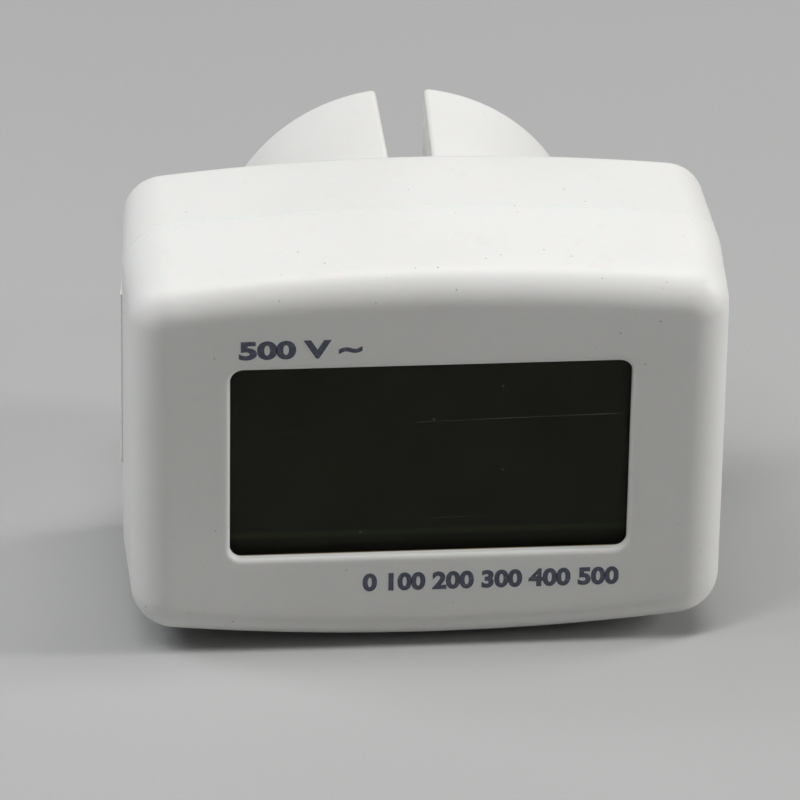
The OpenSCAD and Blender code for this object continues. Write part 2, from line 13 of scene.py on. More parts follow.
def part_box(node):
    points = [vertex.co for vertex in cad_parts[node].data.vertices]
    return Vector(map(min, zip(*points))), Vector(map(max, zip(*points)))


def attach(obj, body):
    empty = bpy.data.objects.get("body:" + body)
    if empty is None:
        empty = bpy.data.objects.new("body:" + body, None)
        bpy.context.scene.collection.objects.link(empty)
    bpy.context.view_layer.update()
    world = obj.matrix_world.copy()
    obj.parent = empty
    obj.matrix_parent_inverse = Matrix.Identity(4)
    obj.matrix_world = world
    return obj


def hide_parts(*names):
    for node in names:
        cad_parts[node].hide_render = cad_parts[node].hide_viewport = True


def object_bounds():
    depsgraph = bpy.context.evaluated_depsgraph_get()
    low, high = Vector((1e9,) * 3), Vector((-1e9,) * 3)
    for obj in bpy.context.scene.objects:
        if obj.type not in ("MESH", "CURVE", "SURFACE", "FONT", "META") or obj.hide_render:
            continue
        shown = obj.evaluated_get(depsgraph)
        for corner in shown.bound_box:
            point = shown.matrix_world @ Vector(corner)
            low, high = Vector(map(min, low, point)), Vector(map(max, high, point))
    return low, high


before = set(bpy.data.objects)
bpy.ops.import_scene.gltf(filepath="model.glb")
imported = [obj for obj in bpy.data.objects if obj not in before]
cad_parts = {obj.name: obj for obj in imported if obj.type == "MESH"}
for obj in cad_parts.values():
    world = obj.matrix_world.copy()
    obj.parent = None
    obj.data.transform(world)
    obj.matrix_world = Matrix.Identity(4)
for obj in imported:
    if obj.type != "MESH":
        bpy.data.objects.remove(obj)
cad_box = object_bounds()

MM = 0.001                      # the shapes below are worked out in millimetres


def box_mm(node):
    """The lowest and the highest corner of a part, in millimetres."""
    low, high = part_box(node)
    return Vector(low) / MM, Vector(high) / MM


# ---------------------------------------------------------------- driving sizes

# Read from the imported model, in millimetres
FRONT_LOW, FRONT_HIGH = box_mm("front_shell")
LENS_LOW, LENS_HIGH = box_mm("window_lens")
PIN_LOW, PIN_HIGH = box_mm("contact_pin_live")
LABEL_LOW, LABEL_HIGH = box_mm("side_label")
BOARD_LOW, BOARD_HIGH = box_mm("circuit_board")
TAPE_LOW = box_mm("lens_tape")[0]
RETAINER_LOW = box_mm("pin_retainer")[0]

# Case
HALF_W = FRONT_HIGH.x
HALF_H = FRONT_HIGH.z
Y_FRONT = FRONT_LOW.y
Y_SEAM = FRONT_HIGH.y
REAR_DEPTH = 12
Y_BACK = Y_SEAM + REAR_DEPTH
CROWN_R = 225
CORNER_R = 4.8
FRONT_EDGE_R = 3.5
REAR_EDGE_R = 1.2
FRONT_DRAFT = 0.4
REAR_DRAFT = 0.7
WALL = 2
INNER_R = 1.6                   # rounding where the inside walls meet
SEAM_R = 0.09                   # the two shells' rounded seam edges
LIP_T = 0.95
LIP_H = 1.3
LIP_GAP = 0.06

# Window
LENS_MARGIN = 1.2
WINDOW_X = LENS_HIGH.x - LENS_MARGIN
WINDOW_Z = (LENS_HIGH.z - LENS_LOW.z) / 2 - LENS_MARGIN
WINDOW_MIDDLE = (LENS_HIGH.z + LENS_LOW.z) / 2
WINDOW_R = 1.3
WINDOW_EDGE_R = 0.5
SEAT_MARGIN = LENS_MARGIN + 0.1 # the lens's pocket, past the window's edge
SEAT_R = 0.2

# Plug
BOSS_R = 18.5
RIM_R = 0.6
ROOT_R = 0.3
BOSS_WALL = 1.8
END_WALL = 2.5
SLOT_CASE = 2.1                 # half the earth slot's width at the case
SLOT_END = 2.45                 # and at the plug's end face
SLOT_FLOOR = 8.6
SLOT_WALL = 1.5
GROOVE_FLOOR = 16
GROOVE_HALF = 3.2
PLUG_CORNER_R = 0.4             # rounding of the slots' and grooves' corners
PIN_X = (PIN_LOW.x + PIN_HIGH.x) / 2
PIN_R = 2.4
NECK_R = 2.9
FLANGE_R = 3.6
FLANGE_T = 1.5
TAIL_R = 1.7
CUP_R = 0.9
CUP_DEPTH = 3
TIP_R = 1.4

# Screws
COLUMN_X = 24.2
COLUMN_Z = 14.9
COLUMN_R = 3.1
POST_R = 2.6
POST_TOP = Y_SEAM - LIP_H - 0.5
BOARD_POST_R = 2.1
RETAINER_POST_R = 2
PILOT_R = 0.9
SHANK_HOLE_R = 1.35
WELL_R = 2.55
WELL_MOUTH_R = WELL_R + 0.3
HEAD_SEAT = Y_BACK - 7.5
BOARD_SCREW_X = 24.2
RETAINER_SCREW_Z = 4.5
OVERLAP = 0.5                   # how far a joined or cutting shape runs past its surface

# Smoothness: points along each stretch of an outline
SIDE_STEPS = 10
CORNER_STEPS = 14
CROWN_STEPS = 26
EDGE_STEPS = 12
PLUG_RIM_STEPS = 24
TURN_STEPS = 96
HOLE_STEPS = 48
SHARP_ANGLE = radians(35)       # edges that turn by more than this stay sharp


# ---------------------------------------------------------------- outlines and solids

def arc(centre, radius, start, end, steps):
    """Points from one angle to another, both in degrees, round a centre."""
    angles = [radians(start + (end - start) * i / steps) for i in range(steps + 1)]
    return [(centre[0] + radius * cos(a), centre[1] + radius * sin(a)) for a in angles]


def four_ways(quarter):
    """A whole outline, counter-clockwise, from the quarter that runs from +X to +Z."""
    across = [(-x, z) for x, z in reversed(quarter)]
    upper = quarter + across[1:]
    return upper + [(-x, -z) for x, z in upper[1:-1]]


def case_outline(inset):
    """The case's section: straight sides, corner arcs, and one wide arc over the top and bottom."""
    half_w, half_h = HALF_W - inset, HALF_H - inset
    crown, corner = CROWN_R - inset, CORNER_R - inset
    lean = asin((half_w - corner) / (crown - corner))
    corner_z = half_h - crown + sqrt((crown - corner) ** 2 - (half_w - corner) ** 2)
    turn = 90 - degrees(lean)
    side = [(half_w, corner_z * i / SIDE_STEPS) for i in range(SIDE_STEPS)]
    corner_arc = arc((half_w - corner, corner_z), corner, 0, turn, CORNER_STEPS)
    crown_arc = arc((0, half_h - crown), crown, turn, 90, CROWN_STEPS)
    return four_ways(side + corner_arc + crown_arc[1:])


def window_outline(grow, radius=WINDOW_R):
    """The window's rounded rectangle, with as many points as the case's section."""
    half_w, half_h, corner = WINDOW_X + grow, WINDOW_Z + grow, radius + grow
    side = [(half_w, (half_h - corner) * i / SIDE_STEPS) for i in range(SIDE_STEPS)]
    corner_arc = arc((half_w - corner, half_h - corner), corner, 0, 90, CORNER_STEPS)
    top = [((half_w - corner) * (1 - i / CROWN_STEPS), half_h) for i in range(1, CROWN_STEPS + 1)]
    return [(x, z + WINDOW_MIDDLE) for x, z in four_ways(side + corner_arc + top)]


def rounded(points):
    """An outline whose points (x, z, radius) with a radius are replaced by an arc's points."""
    steps = 4
    done = []
    for i, (x, z, radius) in enumerate(points):
        if not radius:
            done.append((x, z))
            continue
        here = Vector((x, z))
        back = (Vector(points[i - 1][:2]) - here).normalized()
        on = (Vector(points[(i + 1) % len(points)][:2]) - here).normalized()
        half = back.angle(on) / 2
        reach = radius / tan(half)
        centre = here + (back + on).normalized() * (radius / sin(half))
        start = here + back * reach - centre
        swing = start.angle_signed(here + on * reach - centre)
        for k in range(steps + 1):
            done.append(tuple(centre + Matrix.Rotation(-swing * k / steps, 2) @ start))
    return done


def plug_outline(y, inset, wall=0):
    """The plug body's section at a depth y: a circle with two earth slots and two guide grooves.

    inset shrinks the body all round; wall is how far its hollow's walls stand inside it."""
    run = (y - Y_BACK) / -Y_BACK
    aside = inset + (SLOT_WALL if wall else 0)
    slot = SLOT_CASE + (SLOT_END - SLOT_CASE) * run + aside
    floor = SLOT_FLOOR - aside
    groove = GROOVE_HALF + aside
    groove_floor = GROOVE_FLOOR - aside
    radius = BOSS_R - inset - wall
    start = degrees(asin(groove / radius))
    end = 90 - degrees(asin(slot / radius))
    rim = arc((0, 0), radius, start, end, PLUG_RIM_STEPS)
    bend = PLUG_CORNER_R
    corners = [(groove_floor, 0, 0), (groove_floor, groove, bend), (*rim[0], bend)]
    corners += [(x, z, 0) for x, z in rim[1:-1]]
    corners += [(*rim[-1], bend), (slot, floor, bend), (0, floor, 0)]
    upper = corners + [(-x, z, r) for x, z, r in reversed(corners[:-1])]
    return rounded(upper + [(-x, -z, r) for x, z, r in upper[1:-1]])


def at_depth(outline, y):
    """An outline in X and Z, placed at a depth y."""
    return [(x, y, z) for x, z in outline]


def add_object(name, data):
    """A new object in the scene."""
    made = bpy.data.objects.new(name, data)
    bpy.context.scene.collection.objects.link(made)
    return made


def skin(name, rings, wrap=False):
    """A closed solid over rings with equal numbers of points, in millimetres.

    Its ends are capped, or with wrap its last ring joins its first."""
    count, span = len(rings[0]), len(rings)
    points = [Vector(p) * MM for ring in rings for p in ring]
    faces = []
    for i in range(span if wrap else span - 1):
        here, there = i * count, (i + 1) % span * count
        for j in range(count):
            k = (j + 1) % count
            faces.append((here + j, here + k, there + k, there + j))
    if not wrap:
        faces.append(tuple(reversed(range(count))))
        faces.append(tuple(range((span - 1) * count, span * count)))
    mesh = bpy.data.meshes.new(name)
    mesh.from_pydata(points, [], faces)
    shape = bmesh.new()
    shape.from_mesh(mesh)
    bmesh.ops.recalc_face_normals(shape, faces=shape.faces)
    shape.to_mesh(mesh)
    shape.free()
    return add_object(name, mesh)


def turned(name, profile, at, steps=TURN_STEPS):
    """A solid turned about a line along Y through at; the profile is (radius, y) points."""
    turns = [2 * pi * i / steps for i in range(steps)]
    rings = [[(at[0] + radius * cos(t), y, at[1] + radius * sin(t)) for t in turns]
             for radius, y in profile]
    return skin(name, rings)


def apply_modifiers(piece):
    """Fixes a piece's modifiers into its mesh."""
    depsgraph = bpy.context.evaluated_depsgraph_get()
    made = bpy.data.meshes.new_from_object(piece.evaluated_get(depsgraph))
    spare = piece.data
    piece.modifiers.clear()
    piece.data = made
    bpy.data.meshes.remove(spare)


def combine(piece, operation, tools):
    """Adds the tools to a piece (UNION) or cuts them out of it (DIFFERENCE), and clears them away."""
    for tool in tools:
        step = piece.modifiers.new("combine", "BOOLEAN")
        step.operation = operation
        step.solver = "MANIFOLD"
        step.object = tool
    apply_modifiers(piece)
    for tool in tools:
        bpy.data.meshes.remove(tool.data)


def join(name, pieces):
    """One object out of several, each keeping its own closed mesh."""
    joined = bmesh.new()
    for piece in pieces:
        joined.from_mesh(piece.data)
    mesh = bpy.data.meshes.new(name)
    joined.to_mesh(mesh)
    joined.free()
    for piece in pieces:
        bpy.data.meshes.remove(piece.data)
    return add_object(name, mesh)


def finish_piece(piece, material, stands_for=()):
    """Shades a piece, gives it its material, puts it on the meter's body, and hides the imported parts
    it stands for.
    """
    piece.data.shade_smooth()
    piece.data.set_sharp_from_angle(angle=SHARP_ANGLE)
    piece.data.materials.clear()
    piece.data.materials.append(material)
    even = piece.modifiers.new("even shading", "WEIGHTED_NORMAL")
    even.keep_sharp = True
    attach(piece, "meter")
    if stands_for:
        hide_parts(*stands_for)


# ---------------------------------------------------------------- materials

class Value:
    """A socket in a material, so that sums on it read as Python and add their Math nodes."""

    def __init__(self, finish, socket):
        self.finish = finish
        self.socket = socket

    def sum(self, operation, first, second):
        """A Math node on two values or numbers."""
        return self.finish.node("ShaderNodeMath", {"operation": operation}, {0: first, 1: second})

    def __add__(self, other):
        return self.sum("ADD", self, other)

    def __sub__(self, other):
        return self.sum("SUBTRACT", self, other)

    def __rsub__(self, other):
        return self.sum("SUBTRACT", other, self)

    def __mul__(self, other):
        return self.sum("MULTIPLY", self, other)

    def __lt__(self, other):
        return self.sum("LESS_THAN", self, other)

    __radd__ = __add__
    __rmul__ = __mul__


class Finish:
    """A material whose plain values are set on the shader and whose varying ones are nodes."""

    def __init__(self, name, **shader):
        self.material = bpy.data.materials.new(name)
        self.material.use_nodes = True
        self.tree = self.material.node_tree
        self.tree.nodes.clear()
        self.output = self.tree.nodes.new("ShaderNodeOutputMaterial")
        self.shader = self.tree.nodes.new("ShaderNodeBsdfPrincipled")
        self.tree.links.new(self.shader.outputs[0], self.output.inputs["Surface"])
        self.set(**shader)

    def set(self, **shader):
        """Sets or links sockets of the shader; a name's underscores stand for spaces."""
        for name, value in shader.items():
            self.feed(self.shader.inputs[name.replace("_", " ")], value)

    def feed(self, socket, value):
        """Links a value to a socket, or sets the socket to a plain number, vector or colour."""
        if isinstance(value, Value):
            self.tree.links.new(value.socket, socket)
        elif isinstance(value, tuple) and len(value) == 3 and socket.type == "RGBA":
            socket.default_value = (*value, 1)
        else:
            socket.default_value = value

    def node(self, kind, settings=None, sockets=None, output=0):
        """Any node: its settings first, then its sockets' values or links."""
        made = self.tree.nodes.new(kind)
        for name, value in (settings or {}).items():
            setattr(made, name, value)
        for name, value in (sockets or {}).items():
            self.feed(made.inputs[name], value)
        return Value(self, made.outputs[output])

    def place(self, stretch=(1, 1, 1), turn=(0, 0, 0)):
        """Where a point is on the object, in metres, turned, and stretched for streaks."""
        point = self.node("ShaderNodeTexCoord", output="Object")
        sockets = {"Vector": point, "Scale": stretch, "Rotation": turn}
        return self.node("ShaderNodeMapping", sockets=sockets)

    def along(self, axis):
        """How far along X, Y or Z a point is, in millimetres."""
        point = self.node("ShaderNodeTexCoord", output="Object")
        return self.node("ShaderNodeSeparateXYZ", sockets={"Vector": point}, output=axis) * 1000

    def grain(self, size, detail, rough=0.5, stretch=(1, 1, 1), kink=0):
        """Soft noise whose features are size millimetres across."""
        sockets = {"Vector": self.place(stretch), "Scale": 1000 / size, "Detail": detail}
        sockets.update({"Roughness": rough, "Distortion": kink})
        return self.node("ShaderNodeTexNoise", sockets=sockets)

    def cells(self, size, output="Distance", stretch=(1, 1, 1), flat=False):
        """Distance to, or a colour of, scattered points about size millimetres apart.

        With flat they are scattered over X and Z alone, for a thin part that faces along Y."""
        turn = (pi / 2, 0, 0) if flat else (0, 0, 0)
        settings = {"voronoi_dimensions": "2D" if flat else "3D"}
        sockets = {"Vector": self.place(stretch, turn), "Scale": 1000 / size}
        return self.node("ShaderNodeTexVoronoi", settings, sockets, output)

    def ramp(self, value, low, high):
        """0 below low, 1 above high, and smooth between; low may be the larger of the two."""
        sockets = {"Value": value, "From Min": low, "From Max": high}
        return self.node("ShaderNodeMapRange", {"interpolation_type": "SMOOTHSTEP"}, sockets)

    def blend(self, mask, first, second):
        """The first colour where mask is 0 and the second where it is 1."""
        settings = {"data_type": "RGBA"}
        return self.node("ShaderNodeMix", settings, {0: mask, 6: first, 7: second}, output=2)

    def specks(self, spacing, radius, share, flat=False):
        """A mask of scattered round specks: their spacing and radius in mm, and how many are kept."""
        near = self.ramp(self.cells(spacing, flat=flat), radius / spacing, radius / spacing * 0.5)
        lot = self.node("ShaderNodeSeparateColor",
                        sockets={"Color": self.cells(spacing, "Color", flat=flat)})
        return near * (lot < share)

    def scratch(self, x, z, start, end):
        """A mask of one straight hairline in the face, from start to end in millimetres."""
        half = 0.09
        fade = 0.8
        slope = (end[1] - start[1]) / (end[0] - start[0])
        off = z - (x * slope + (start[1] - slope * start[0]))
        line = self.ramp(off, -half, 0) * self.ramp(off, half, 0)
        return line * self.ramp(x, start[0], start[0] + fade) * self.ramp(x, end[0], end[0] - fade)

    def relief(self, height, depth, strength, under=None):
        """A bumped normal: height from 0 to 1 stands for depth millimetres."""
        sockets = {"Height": height, "Distance": depth * MM, "Strength": strength}
        if under:
            sockets["Normal"] = under
        return self.node("ShaderNodeBump", sockets=sockets)


def moulded_abs():
    """White ABS from a fine spark-textured tool, with light handling wear and a little dust."""
    f = Finish("moulded_abs", Specular_IOR_Level=0.42, Subsurface_Weight=0.12, Subsurface_Scale=0.0012)
    cloud = f.ramp(f.grain(26, 2), 0.35, 0.65)
    tool_texture = f.grain(0.16, 2, 0.6)
    scuffs = f.ramp(f.grain(3.5, 5, 0.7, (1, 1, 5)), 0.56, 0.7)
    dust = f.specks(2.2, 0.14, 0.5)
    lint = f.specks(1.6, 0.08, 0.2)
    plain = f.blend(cloud, (0.80, 0.795, 0.765), (0.83, 0.825, 0.80))
    worn = f.blend(scuffs * 0.35, plain, (0.765, 0.757, 0.72))
    spotted = f.blend(dust * 0.55, worn, (0.30, 0.29, 0.26))
    f.set(Base_Color=f.blend(lint * 0.5, spotted, (0.42, 0.40, 0.37)))
    f.set(Roughness=0.40 + cloud * 0.05 + scuffs * 0.1 + (tool_texture - 0.5) * 0.12)
    f.set(Normal=f.relief(tool_texture, 0.006, 0.6, f.relief(f.grain(9, 1), 0.02, 0.5)))
    return f.material


def window_acrylic():
    """Clear acrylic with a faint smoke tint, hairline scratches and a few dust specks."""
    f = Finish("window_acrylic", Base_Color=(0.64, 0.65, 0.58), Transmission_Weight=1.0, IOR=1.16)
    haze = f.ramp(f.grain(8, 3), 0.4, 0.7)
    x, z = f.along("X"), f.along("Z")
    broken = f.ramp(f.grain(2.6, 4, 0.7), 0.42, 0.62)
    # Three hairlines, each from one point to another on the window, and then how strong it is
    hairline = f.scratch(x, z, (-2, 4.1), (19.4, 4.5))
    hairline = hairline + f.scratch(x, z, (-18.4, 3.0), (-8.5, 3.6)) * 0.6
    hairline = hairline + f.scratch(x, z, (-2, -7.0), (8, -6.8)) * 0.75
    nick = f.ramp(f.grain(1.1, 1, 0.4, (0.3, 1, 0.9), 0.8), 0.80, 0.84)
    dust = f.specks(3.4, 0.13, 0.12, flat=True)
    f.set(Roughness=0.03 + haze * 0.03)
    dry = f.node("ShaderNodeBsdfDiffuse", sockets={"Color": (0.32, 0.33, 0.28)})
    outside = f.ramp(f.along("Y"), LENS_LOW.y + 0.4, LENS_LOW.y + 0.2)      # the front face alone
    worn = (hairline * (broken * 0.22 + 0.14) + nick * 0.3 + dust * 0.6) * outside
    mixed = f.node("ShaderNodeMixShader", sockets={0: worn, 2: dry})
    f.tree.links.new(f.shader.outputs[0], mixed.socket.node.inputs[1])
    f.tree.links.new(mixed.socket, f.output.inputs["Surface"])
    return f.material


def polarizing_film():
    """Near-black olive film, with a lighter green strip just above the window's bottom edge."""
    f = Finish("polarizing_film", Specular_IOR_Level=0.12)
    z = f.along("Z")
    bottom = WINDOW_MIDDLE - WINDOW_Z
    strip = f.ramp(z, bottom + 1.1, bottom + 1.5) * f.ramp(z, bottom + 2.2, bottom + 1.7)
    mottle = f.ramp(f.grain(11, 3), 0.3, 0.7)
    dark = f.blend(mottle, (0.034, 0.037, 0.021), (0.042, 0.045, 0.026))
    f.set(Base_Color=f.blend(strip * 0.7, dark, (0.060, 0.085, 0.036)))
    f.set(Roughness=0.32 + mottle * 0.08)
    return f.material


def cell_glass():
    """Soda-lime display glass with a faint green edge."""
    f = Finish("cell_glass", Transmission_Weight=0.9, IOR=1.52)
    smear = f.ramp(f.grain(7, 4), 0.35, 0.7)
    f.set(Base_Color=f.blend(smear, (0.62, 0.76, 0.68), (0.68, 0.80, 0.73)))
    f.set(Roughness=0.02 + smear * 0.05)
    return f.material


def guide_acrylic():
    """Polished clear acrylic with a printed dot pattern that lets the light out."""
    f = Finish("guide_acrylic", Transmission_Weight=0.8, IOR=1.49)
    dots = f.ramp(f.cells(0.9), 0.34, 0.26)
    f.set(Base_Color=f.blend(dots, (0.86, 0.92, 0.93), (0.96, 0.96, 0.95)))
    f.set(Roughness=0.05 + dots * 0.4)
    return f.material


def plastic(name, colour, rough, grain, depth=0.008, wander=0.06):
    """A plain moulded or dipped part: its colour wanders a little, over a fine surface grain."""
    f = Finish(name)
    drift = f.ramp(f.grain(2.5, 3), 0.3, 0.7)
    fine = f.grain(grain, 2, 0.6)
    darker = tuple(c * (1 - wander) for c in colour)
    lighter = tuple(min(c * (1 + wander), 1) for c in colour)
    f.set(Base_Color=f.blend(drift, darker, lighter))
    f.set(Roughness=rough - 0.06 + drift * 0.06 + fine * 0.12)
    f.set(Normal=f.relief(fine, depth, 0.5))
    return f.material


def bright_metal(name, colour, rough, streak=(1, 1, 1), tarnish=0.25):
    """A plated or tinned metal: fine tool streaks, and duller patches that gather with age."""
    f = Finish(name, Metallic=1.0)
    lines = f.grain(0.12, 3, 0.6, streak)
    dull = f.ramp(f.grain(2.2, 4, 0.6), 0.5, 0.75)
    stained = tuple(c * t for c, t in zip(colour, (0.78, 0.74, 0.66)))
    f.set(Base_Color=f.blend(dull * tarnish, colour, stained))
    f.set(Roughness=rough + dull * 0.16 + (lines - 0.5) * 0.16)
    f.set(Normal=f.relief(lines, 0.003, 0.5))
    return f.material


def nickel_pin():
    """Turned brass with bright nickel plate: rings from the lathe, and scuffs from sockets."""
    f = Finish("nickel_pin", Metallic=1.0)
    rings = f.grain(0.09, 2, 0.5, (0.02, 1, 0.02))
    rubbed = f.ramp(f.grain(0.35, 3, 0.6, (1, 0.06, 1)), 0.54, 0.72)
    handled = f.ramp(f.grain(3.2, 4), 0.45, 0.75)
    plate_colour = f.blend(handled * 0.5, (0.76, 0.735, 0.69), (0.66, 0.63, 0.57))
    f.set(Base_Color=f.blend(rubbed * 0.35, plate_colour, (0.82, 0.80, 0.77)))
    f.set(Roughness=0.17 + rubbed * 0.14 + handled * 0.1)
    f.set(Normal=f.relief(rings, 0.003, 0.5, f.relief(rubbed, 0.004, 0.4)))
    return f.material


def board_laminate():
    """Green solder mask over glass laminate: tracks show through, and the edges are bare."""
    f = Finish("board_laminate", Coat_Weight=0.4, Coat_Roughness=0.15)
    tracks = f.ramp(f.cells(3.4, stretch=(1, 1, 0.6)), 0.42, 0.38)
    weave = f.grain(0.5, 1)
    y = f.along("Y")
    edge = f.ramp(y, BOARD_LOW.y + 0.03, BOARD_LOW.y + 0.06)
    edge = edge * f.ramp(y, BOARD_HIGH.y - 0.03, BOARD_HIGH.y - 0.06)
    mask = f.blend(tracks, (0.018, 0.13, 0.055), (0.03, 0.19, 0.085))
    f.set(Base_Color=f.blend(edge, mask, (0.42, 0.40, 0.24)))
    f.set(Roughness=0.3 + weave * 0.1 + edge * 0.3)
    f.set(Normal=f.relief(tracks, 0.035, 0.7, f.relief(weave, 0.01, 0.4)))
    return f.material


def elastomer():
    """Pink silicone with fine dark conducting layers across it."""
    f = Finish("elastomer", Specular_IOR_Level=0.3)
    sockets = {"Vector": f.place(), "Scale": 900, "Distortion": 0.3}
    layers = f.node("ShaderNodeTexWave", {"bands_direction": "X"}, sockets)
    f.set(Base_Color=f.blend(f.ramp(layers, 0.4, 0.6), (0.62, 0.27, 0.32), (0.10, 0.08, 0.085)))
    f.set(Roughness=0.55 + layers * 0.15)
    return f.material


def banded(name, ground, bands, rough, **shader):
    """A body along X with bands painted round it: each is (middle, half width, colour)."""
    f = Finish(name, **shader)
    drift = f.ramp(f.grain(1.5, 3), 0.3, 0.7)
    where = f.along("X")
    colour = f.blend(drift, tuple(c * 0.92 for c in ground), ground)
    soft = 0.04
    for middle, half, paint in bands:
        mask = f.ramp(where, middle - half - soft, middle - half + soft)
        mask = mask * f.ramp(where, middle + half + soft, middle + half - soft)
        colour = f.blend(mask, colour, paint)
    f.set(Base_Color=colour, Roughness=rough + drift * 0.1)
    f.set(Normal=f.relief(f.grain(0.4, 2), 0.01, 0.5))
    return f.material


def printing_ink():
    """Blue-black pad-printing ink, thin in places so that the plastic greys it."""
    f = Finish("printing_ink", Specular_IOR_Level=0.35)
    thin = f.ramp(f.grain(0.35, 4, 0.65), 0.45, 0.72)
    f.set(Base_Color=f.blend(thin * 0.55, (0.083, 0.088, 0.13), (0.22, 0.225, 0.26)))
    f.set(Roughness=0.45 + thin * 0.15)
    return f.material


def label_stock():
    """Blank white label: coated paper with faint fibres and a slightly grubby edge."""
    f = Finish("label_stock", Specular_IOR_Level=0.4)
    fibre = f.grain(0.25, 4, 0.7, (1, 0.3, 1))
    z = f.along("Z")
    edge = 1 - f.ramp(z, LABEL_LOW.z, LABEL_LOW.z + 0.7) * f.ramp(z, LABEL_HIGH.z, LABEL_HIGH.z - 0.7)
    paper = f.blend(f.ramp(fibre, 0.4, 0.65), (0.80, 0.80, 0.775), (0.84, 0.84, 0.82))
    f.set(Base_Color=f.blend(edge * 0.35, paper, (0.62, 0.60, 0.54)))
    f.set(Roughness=0.5 + fibre * 0.12)
    f.set(Normal=f.relief(fibre, 0.012, 0.5))
    return f.material


def studio_floor():
    """A pale matt table top."""
    f = Finish("studio_floor", Specular_IOR_Level=0.3)
    cloud = f.grain(160, 3)
    f.set(Base_Color=f.blend(cloud, (0.435, 0.435, 0.43), (0.47, 0.47, 0.465)))
    f.set(Roughness=0.5 + cloud * 0.1)
    return f.material


# ---------------------------------------------------------------- the case

def front_draft(y):
    """How far the front shell's sides stand in from the seam at a depth y."""
    return FRONT_DRAFT * (Y_SEAM - y) / (Y_SEAM - Y_FRONT)


def rear_draft(y):
    """How far the rear shell's sides stand in from the seam at a depth y."""
    return REAR_DRAFT * (y - Y_SEAM) / (Y_BACK - Y_SEAM)


def quarter_turns(steps):
    """Angles from 0 to 90 degrees, in radians."""
    return [radians(90 * i / steps) for i in range(steps + 1)]


def rounding(radius, steps, start, inset):
    """(inset, y) points of a rounded edge that opens towards +Y from a face at start."""
    return [(inset + radius * (1 - sin(q)), start + radius * (1 - cos(q)))
            for q in quarter_turns(steps)]


def front_shell():
    """The front cover: rounded face, window with a rounded rim, lip, screw posts and board posts."""
    floor = Y_FRONT + WALL
    lip_start = Y_SEAM - LIP_H
    outside = [(SEAM_R * (1 - sin(q)), Y_SEAM - SEAM_R * (1 - cos(q))) for q in quarter_turns(3)]
    side_from, side_to = Y_SEAM - SEAM_R, Y_FRONT + FRONT_EDGE_R
    outside += [(0, side_from + (side_to - side_from) * i / 6) for i in range(1, 6)]
    outside += reversed(rounding(FRONT_EDGE_R, EDGE_STEPS, Y_FRONT, 0))
    rings = [at_depth(case_outline(inset + front_draft(y)), y) for inset, y in outside]
    border = 0.4                    # keeps the flat face's shading off its rounded edges
    rings.append(at_depth(case_outline(front_draft(Y_FRONT) + FRONT_EDGE_R + border), Y_FRONT))
    rings.append(at_depth(window_outline(WINDOW_EDGE_R + border), Y_FRONT))
    rings += [at_depth(window_outline(grow), y)
              for grow, y in rounding(WINDOW_EDGE_R, 6, Y_FRONT, 0)]
    rings.append(at_depth(window_outline(0), TAPE_LOW.y))
    rings += [at_depth(window_outline(SEAT_MARGIN, SEAT_R), y) for y in (TAPE_LOW.y, floor)]
    rings.append(at_depth(window_outline(SEAT_MARGIN + 0.5, SEAT_R), floor))
    rings += [at_depth(case_outline(inset + front_draft(y)), y)
              for inset, y in rounding(INNER_R, 4, floor, WALL)]
    rings += [at_depth(case_outline(inset), y)
              for inset, y in ((WALL, lip_start), (LIP_T, lip_start), (LIP_T, Y_SEAM))]
    shell = skin("front_shell_moulding", rings, wrap=True)
    posts = []
    holes = []
    for x in (-1, 1):
        for z in (-1, 1):
            at = (x * COLUMN_X, z * COLUMN_Z)
            post = [(POST_R + 0.2, floor - OVERLAP)]
            post += [(POST_R, POST_TOP - 0.2), (POST_R - 0.2, POST_TOP)]
            posts.append(turned("post", post, at))
            pilot = [(PILOT_R, POST_TOP - 9), (PILOT_R, POST_TOP - 0.3), (1.25, POST_TOP + 0.1)]
            holes.append(turned("pilot", pilot, at, HOLE_STEPS))
        at = (x * BOARD_SCREW_X, 0)
        post = [(BOARD_POST_R + 0.15, floor - OVERLAP), (BOARD_POST_R, BOARD_LOW.y)]
        posts.append(turned("board_post", post, at))
        pilot = [(PILOT_R, BOARD_LOW.y - 5), (PILOT_R, BOARD_LOW.y + OVERLAP)]
        holes.append(turned("pilot", pilot, at, HOLE_STEPS))
    combine(shell, "UNION", posts)
    combine(shell, "DIFFERENCE", holes)
    return shell


def plug_body():
    """The round plug with its slots and grooves, a small fillet at its root and a rounded rim."""
    sections = [(-ROOT_R, Y_BACK - 1)]
    sections += [(-inset, y) for inset, y in rounding(ROOT_R, 3, Y_BACK, 0)]
    sections += [(0, Y_BACK / 2)]
    sections += [(RIM_R * (1 - sin(q)), -RIM_R * (1 - cos(q))) for q in reversed(quarter_turns(5))]
    return skin("plug_body", [at_depth(plug_outline(y, inset), y) for inset, y in sections])


